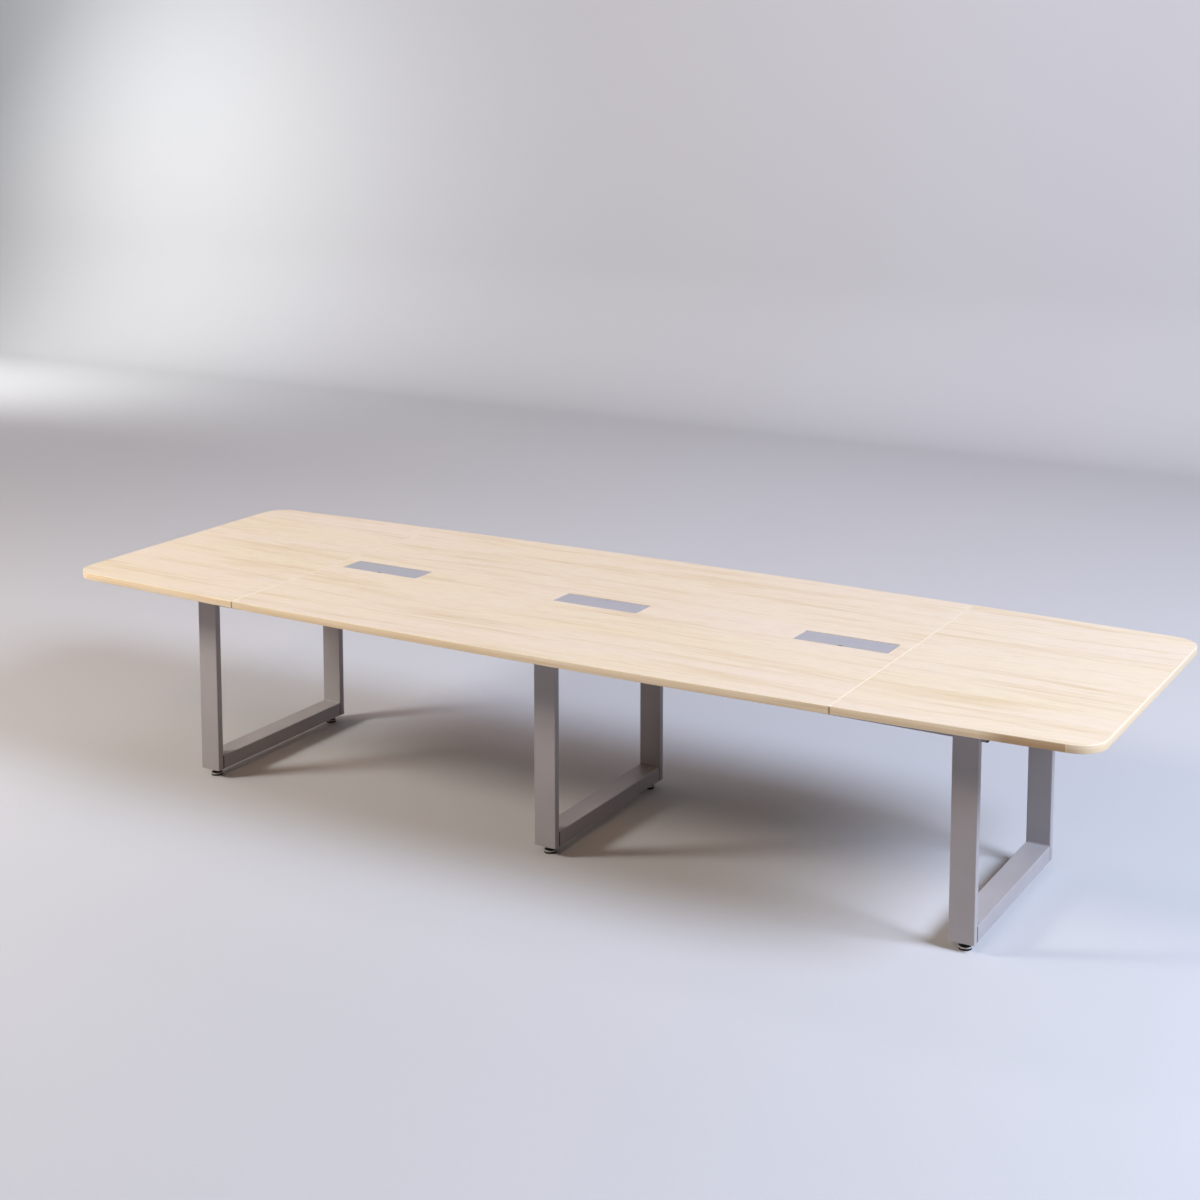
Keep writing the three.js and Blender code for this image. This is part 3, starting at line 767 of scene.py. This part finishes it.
# %% Foot stem
PITCH = 0.00125
CREST = 0.0040
ROOT = 0.0033
THREAD_BOTTOM = 0.0272
THREAD_TOP = 0.0595
COLLAR_RADIUS = 0.0075
COLLAR_BOTTOM = 0.0180
COLLAR_TOP = 0.0280
BALL_RADIUS = 0.0050
BALL_CENTRE = 0.0123
BALL_STEPS = 12
NECK_RADIUS = 0.0034
NECK_TOP = 0.0185
COLLAR_ROUND = 0.0006
THREAD_STEPS = 24
SEAM_GAP = 0.000002
CUT_GAP = 0.000001
TOOTH = ((ROOT, 0), (CREST, 0.40), (CREST, 0.52), (ROOT, 0.90), (ROOT, 1))

thread = draw("foot_thread", [(radius, THREAD_BOTTOM + (turns - 2) * PITCH) for radius, turns in TOOTH])
bpy.ops.object.mode_set(mode="OBJECT")
pick(thread)
winding = thread.modifiers.new("winding", "SCREW")
winding.axis = "Z"
winding.steps = THREAD_STEPS
winding.render_steps = THREAD_STEPS
winding.screw_offset = PITCH
winding.iterations = math.ceil((THREAD_TOP - THREAD_BOTTOM) / PITCH) + 4
bpy.ops.object.modifier_apply(modifier=winding.name)
edit(thread, "VERT", lambda spot, normal: True)
bpy.ops.mesh.remove_doubles(threshold=SEAM_GAP)
for height, facing in ((THREAD_BOTTOM, -1), (THREAD_TOP, 1)):
    bpy.ops.mesh.select_all(action="SELECT")
    bpy.ops.mesh.bisect(plane_co=(0, 0, height), plane_no=(0, 0, facing), threshold=CUT_GAP,
                        use_fill=True, clear_outer=True)
close_up(thread)

clear()
bpy.ops.mesh.primitive_cylinder_add(vertices=6, radius=COLLAR_RADIUS, depth=COLLAR_TOP - COLLAR_BOTTOM)
stem = named("foot_stem")
stem.location.z = (COLLAR_TOP + COLLAR_BOTTOM) / 2
done(stem)
soften(stem, COLLAR_ROUND)

neck_angle = math.asin(NECK_RADIUS / BALL_RADIUS)
arc = [math.pi - step / BALL_STEPS * (math.pi - neck_angle) for step in range(BALL_STEPS + 1)]
ball = [(BALL_RADIUS * math.sin(a), BALL_CENTRE + BALL_RADIUS * math.cos(a)) for a in arc]
neck = [(NECK_RADIUS, NECK_TOP), (0, NECK_TOP)]
combine(stem, lathe("foot_ball", ball + neck, THREAD_STEPS), "UNION")
combine(stem, thread, "UNION")
pick(stem)
bpy.ops.object.shade_smooth_by_angle(angle=math.radians(25))
stem.data.materials.append(black_steel)
print("stem", len(stem.data.polygons), "faces")

# %% [markdown]
# Six feet are alike, so the three models are copied to the middle of each CAD pad. A foot has two
# bodies: the sole and the pad go straight down, and the stem turns as it goes. Each copy rides on the
# one that carries it.

# %% Put the feet in place
SIDES = ("left", "middle", "right")
ENDS = ("front", "rear")
FOOT_PARTS = (
    (sole, "_sole", "_pad", "pad", None),
    (pad, "_moulded_pad", "_pad", "pad", "_foot_pad"),
    (stem, "_threaded_stem", "_stem", "steel", "_foot_stem"),
)
for side in SIDES:
    for end in ENDS:
        foot = side + "_" + end
        low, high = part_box(foot + "_foot_pad")
        spot = ((low.x + high.x) / 2, (low.y + high.y) / 2, 0)
        for model, part, body, slot, node in FOOT_PARTS:
            made = copy_to(model, foot + part, spot)
            if node:
                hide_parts(foot + node)
            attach(made, foot + body)
for model in (sole, pad, stem):
    bpy.data.objects.remove(model)
print(len(SIDES) * len(ENDS), "feet")

# %% [markdown]
# ## Fasteners
#
# Nobody sees these from above, but turn the table over and they are what holds it. Pan-head screws go
# up through the plates, the tray flanges, the brackets and the seam bars into the boards. Hexagon bolts
# with washers tie each post to the beam behind it. A head is a short cylinder whose end is drawn in
# step by step into a dome, with a cross cut into it. Heads of one place are joined into one piece.

# %% Pan-head screw
HEAD_RADIUS = 0.0050
HEAD_SIDE = 0.0012
DOME = ((0.0008, 0.86), (0.0006, 0.74), (0.0003, 0.55))
SHANK_RADIUS = 0.0024
SHANK_LENGTH = 0.0060
CROSS_WIDTH = 0.0011
CROSS_ARM = 0.0019
CROSS_DEPTH = 0.0016

clear()
bpy.ops.mesh.primitive_cylinder_add(vertices=24, radius=HEAD_RADIUS, depth=HEAD_SIDE)
screw = named("pan_screw")
screw.location.z = HEAD_SIDE / 2
done(screw)
edit(screw, "FACE", lambda centre, normal: normal.z > 0.9)
for rise, shrink in DOME:
    bpy.ops.mesh.extrude_region_move(TRANSFORM_OT_translate={"value": (0, 0, rise)})
    bpy.ops.transform.resize(value=(shrink, shrink, 1), center_override=(0, 0, 0))
edit(screw, "FACE", lambda centre, normal: normal.z < -0.9)
bpy.ops.mesh.inset(thickness=HEAD_RADIUS - SHANK_RADIUS)
bpy.ops.mesh.extrude_region_move(TRANSFORM_OT_translate={"value": (0, 0, -SHANK_LENGTH)})
bpy.ops.object.mode_set(mode="OBJECT")
head_top = HEAD_SIDE + sum(rise for rise, shrink in DOME)

clear()
bpy.ops.mesh.primitive_cube_add(size=CROSS_WIDTH)
cross = named("cross_recess")
cross.scale.z = 2 * CROSS_DEPTH / CROSS_WIDTH
cross.location.z = head_top
done(cross)
for arm in ((1, 0), (-1, 0), (0, 1), (0, -1)):
    outward = Vector((*arm, 0))
    edit(cross, "FACE", lambda centre, normal: normal.dot(outward) > 0.9)
    bpy.ops.mesh.extrude_region_move(TRANSFORM_OT_translate={"value": outward * CROSS_ARM})
bpy.ops.object.mode_set(mode="OBJECT")
combine(screw, cross, "DIFFERENCE")
pick(screw)
bpy.ops.object.shade_smooth_by_angle(angle=math.radians(35))
screw.data.materials.append(plating)
print("screw", len(screw.data.polygons), "faces")

# %% [markdown]
# A hexagon bolt is upset from bar, so its corners are rounded off at the top. Here the top edges of a
# six-sided cylinder are bevelled, and it is sunk a hair into its washer before the two are joined, as
# faces that only touch don't join well.

# %% Hexagon bolt
WASHER_RADIUS = 0.0095
WASHER_HEIGHT = 0.0016
WASHER_ROUND = 0.0003
BOLT_RADIUS = 0.0075
BOLT_HEIGHT = 0.0053
BOLT_SINK = 0.0002
BOLT_ROUND = 0.0008

clear()
bpy.ops.mesh.primitive_cylinder_add(vertices=32, radius=WASHER_RADIUS, depth=WASHER_HEIGHT)
bolt = named("hex_bolt")
bolt.location.z = WASHER_HEIGHT / 2
done(bolt)
soften(bolt, WASHER_ROUND, 1)
clear()
bpy.ops.mesh.primitive_cylinder_add(vertices=6, radius=BOLT_RADIUS, depth=BOLT_HEIGHT)
bolt_head = named("bolt_head")
bolt_head.location.z = WASHER_HEIGHT - BOLT_SINK + BOLT_HEIGHT / 2
done(bolt_head)
edit(bolt_head, "EDGE", lambda centre, along: centre.z > WASHER_HEIGHT + BOLT_HEIGHT / 2)
bpy.ops.mesh.bevel(offset=BOLT_ROUND, segments=3, affect="EDGES")
bpy.ops.object.mode_set(mode="OBJECT")
combine(bolt, bolt_head, "UNION")
pick(bolt)
bpy.ops.object.shade_smooth_by_angle(angle=math.radians(35))
bolt.data.materials.append(plating)
print("bolt", len(bolt.data.polygons), "faces")

# %% [markdown]
# Every plate, tray, bracket and bar is measured by its box, and its fasteners are set in from the
# corners. That is safer than writing down their places, because they follow the CAD if it changes.

# %% Put the fasteners in place
DOWN = (math.pi, 0, 0)
INWARD = {"front": (-math.pi / 2, 0, 0), "rear": (math.pi / 2, 0, 0)}


def fasten(name, model, spots, turned):
    """Copies a fastener to each spot and joins the copies into one piece on the table."""
    copies = [copy_to(model, name, spot, turned) for spot in spots]
    clear()
    for made in copies:
        made.select_set(True)
    bpy.context.view_layer.objects.active = copies[0]
    bpy.ops.object.join()
    group = named(name)
    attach(group, "table")
    return group


def corners(low, high, inset):
    """The four corners of a box seen from above, drawn in by an inset in each direction."""
    xs, ys = (low.x + inset[0], high.x - inset[0]), (low.y + inset[1], high.y - inset[1])
    return [(x, y, low.z) for x in xs for y in ys]


PLATE_INSET = (0.016, 0.016)
FLANGE_INSET = (0.007, 0.007)
FLANGE_SHEET = 0.0015
BRACKET_INSET = 0.015
BRACKET_SHEET = 0.003
BOLT_X = 0.024
BOLT_DROP = 0.063
SEAM_SCREW_X = 0.014
SEAM_SCREW_Y = (-0.255, -0.115, 0.115, 0.255)

groups = []
for side in SIDES:
    flange_low, flange_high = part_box(side + "_hatch_tray")
    flange_low.z = BOARD_BACK - FLANGE_SHEET
    spots = corners(flange_low, flange_high, FLANGE_INSET)
    groups.append(fasten(side + "_tray_screws", screw, spots, DOWN))
    for end, sign in (("front", -1), ("rear", 1)):
        low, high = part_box(side + "_" + end + "_top_plate")
        spots = corners(low, high, PLATE_INSET)
        groups.append(fasten(side + "_" + end + "_plate_screws", screw, spots, DOWN))
        inner = sign * min(abs(v.y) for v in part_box(end + "_beam"))
        spots = [((low.x + high.x) / 2 + shift, inner, low.z - BOLT_DROP) for shift in (-BOLT_X, BOLT_X)]
        groups.append(fasten(side + "_" + end + "_post_bolts", bolt, spots, INWARD[end]))
for end, sign in (("front", -1), ("rear", 1)):
    for side in ("left", "right"):
        low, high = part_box(end + "_" + side + "_bracket")
        xs = (low.x + BRACKET_INSET, high.x - BRACKET_INSET)
        wall = sign * (max(abs(low.y), abs(high.y)) - BRACKET_SHEET)
        up = [(x, (low.y + high.y) / 2, high.z - BRACKET_SHEET) for x in xs]
        groups.append(fasten(end + "_" + side + "_bracket_screws", screw, up, DOWN))
        across = [(x, wall, (low.z + high.z) / 2) for x in xs]
        groups.append(fasten(end + "_" + side + "_bracket_bolts", screw, across, INWARD[end]))
for side in ("left", "right"):
    low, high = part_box(side + "_seam_cross_bar")
    middle = (low.x + high.x) / 2
    xs = (middle - SEAM_SCREW_X, middle + SEAM_SCREW_X)
    spots = [(x, y, high.z - BRACKET_SHEET) for x in xs for y in SEAM_SCREW_Y]
    groups.append(fasten(side + "_seam_screws", screw, spots, DOWN))
for model in (screw, bolt):
    bpy.data.objects.remove(model)
print(len(groups), "groups of fasteners")

# %% [markdown]
# ## Welds
#
# A floor rail is welded between its posts. The flush sides are ground smooth, so only a fine crease is
# left there, but the inside corner keeps its bead: a row of small overlapping ripples. It is a thin
# cylinder, cut into rings, with every other ring drawn in.

# %% Weld beads
BEAD_RADIUS = 0.0021
BEAD_LENGTH = 0.073
BEAD_RINGS = 48
BEAD_DIP = 0.82
BEAD_TIP = 0.4
RING = BEAD_LENGTH / BEAD_RINGS

clear()
bpy.ops.mesh.primitive_cylinder_add(vertices=10, radius=BEAD_RADIUS, depth=BEAD_LENGTH)
bead = named("weld_bead")
bead.rotation_euler.y = math.pi / 2
done(bead)
edit(bead, "EDGE", lambda centre, along: abs(along.x) > BEAD_LENGTH / 2)
bpy.ops.mesh.subdivide(number_cuts=BEAD_RINGS - 1)
edit(bead, "VERT", lambda spot, normal: round((spot.x + BEAD_LENGTH / 2) / RING) % 2)
bpy.ops.transform.resize(value=(1, BEAD_DIP, BEAD_DIP), center_override=(0, 0, 0))
edit(bead, "VERT", lambda spot, normal: abs(spot.x) > BEAD_LENGTH / 2 - RING / 2)
bpy.ops.transform.resize(value=(1, BEAD_TIP, BEAD_TIP), center_override=(0, 0, 0))
bpy.ops.object.mode_set(mode="OBJECT")
bpy.ops.object.shade_smooth_by_angle(angle=math.radians(50))
bead.data.materials.append(frame_coat)
for side in SIDES:
    low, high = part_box(side + "_floor_rail")
    for end, y in (("front", low.y), ("rear", high.y)):
        made = copy_to(bead, side + "_" + end + "_weld", ((low.x + high.x) / 2, y, high.z))
        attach(made, "table")
bpy.data.objects.remove(bead)
print("welds on", len(SIDES), "rails")
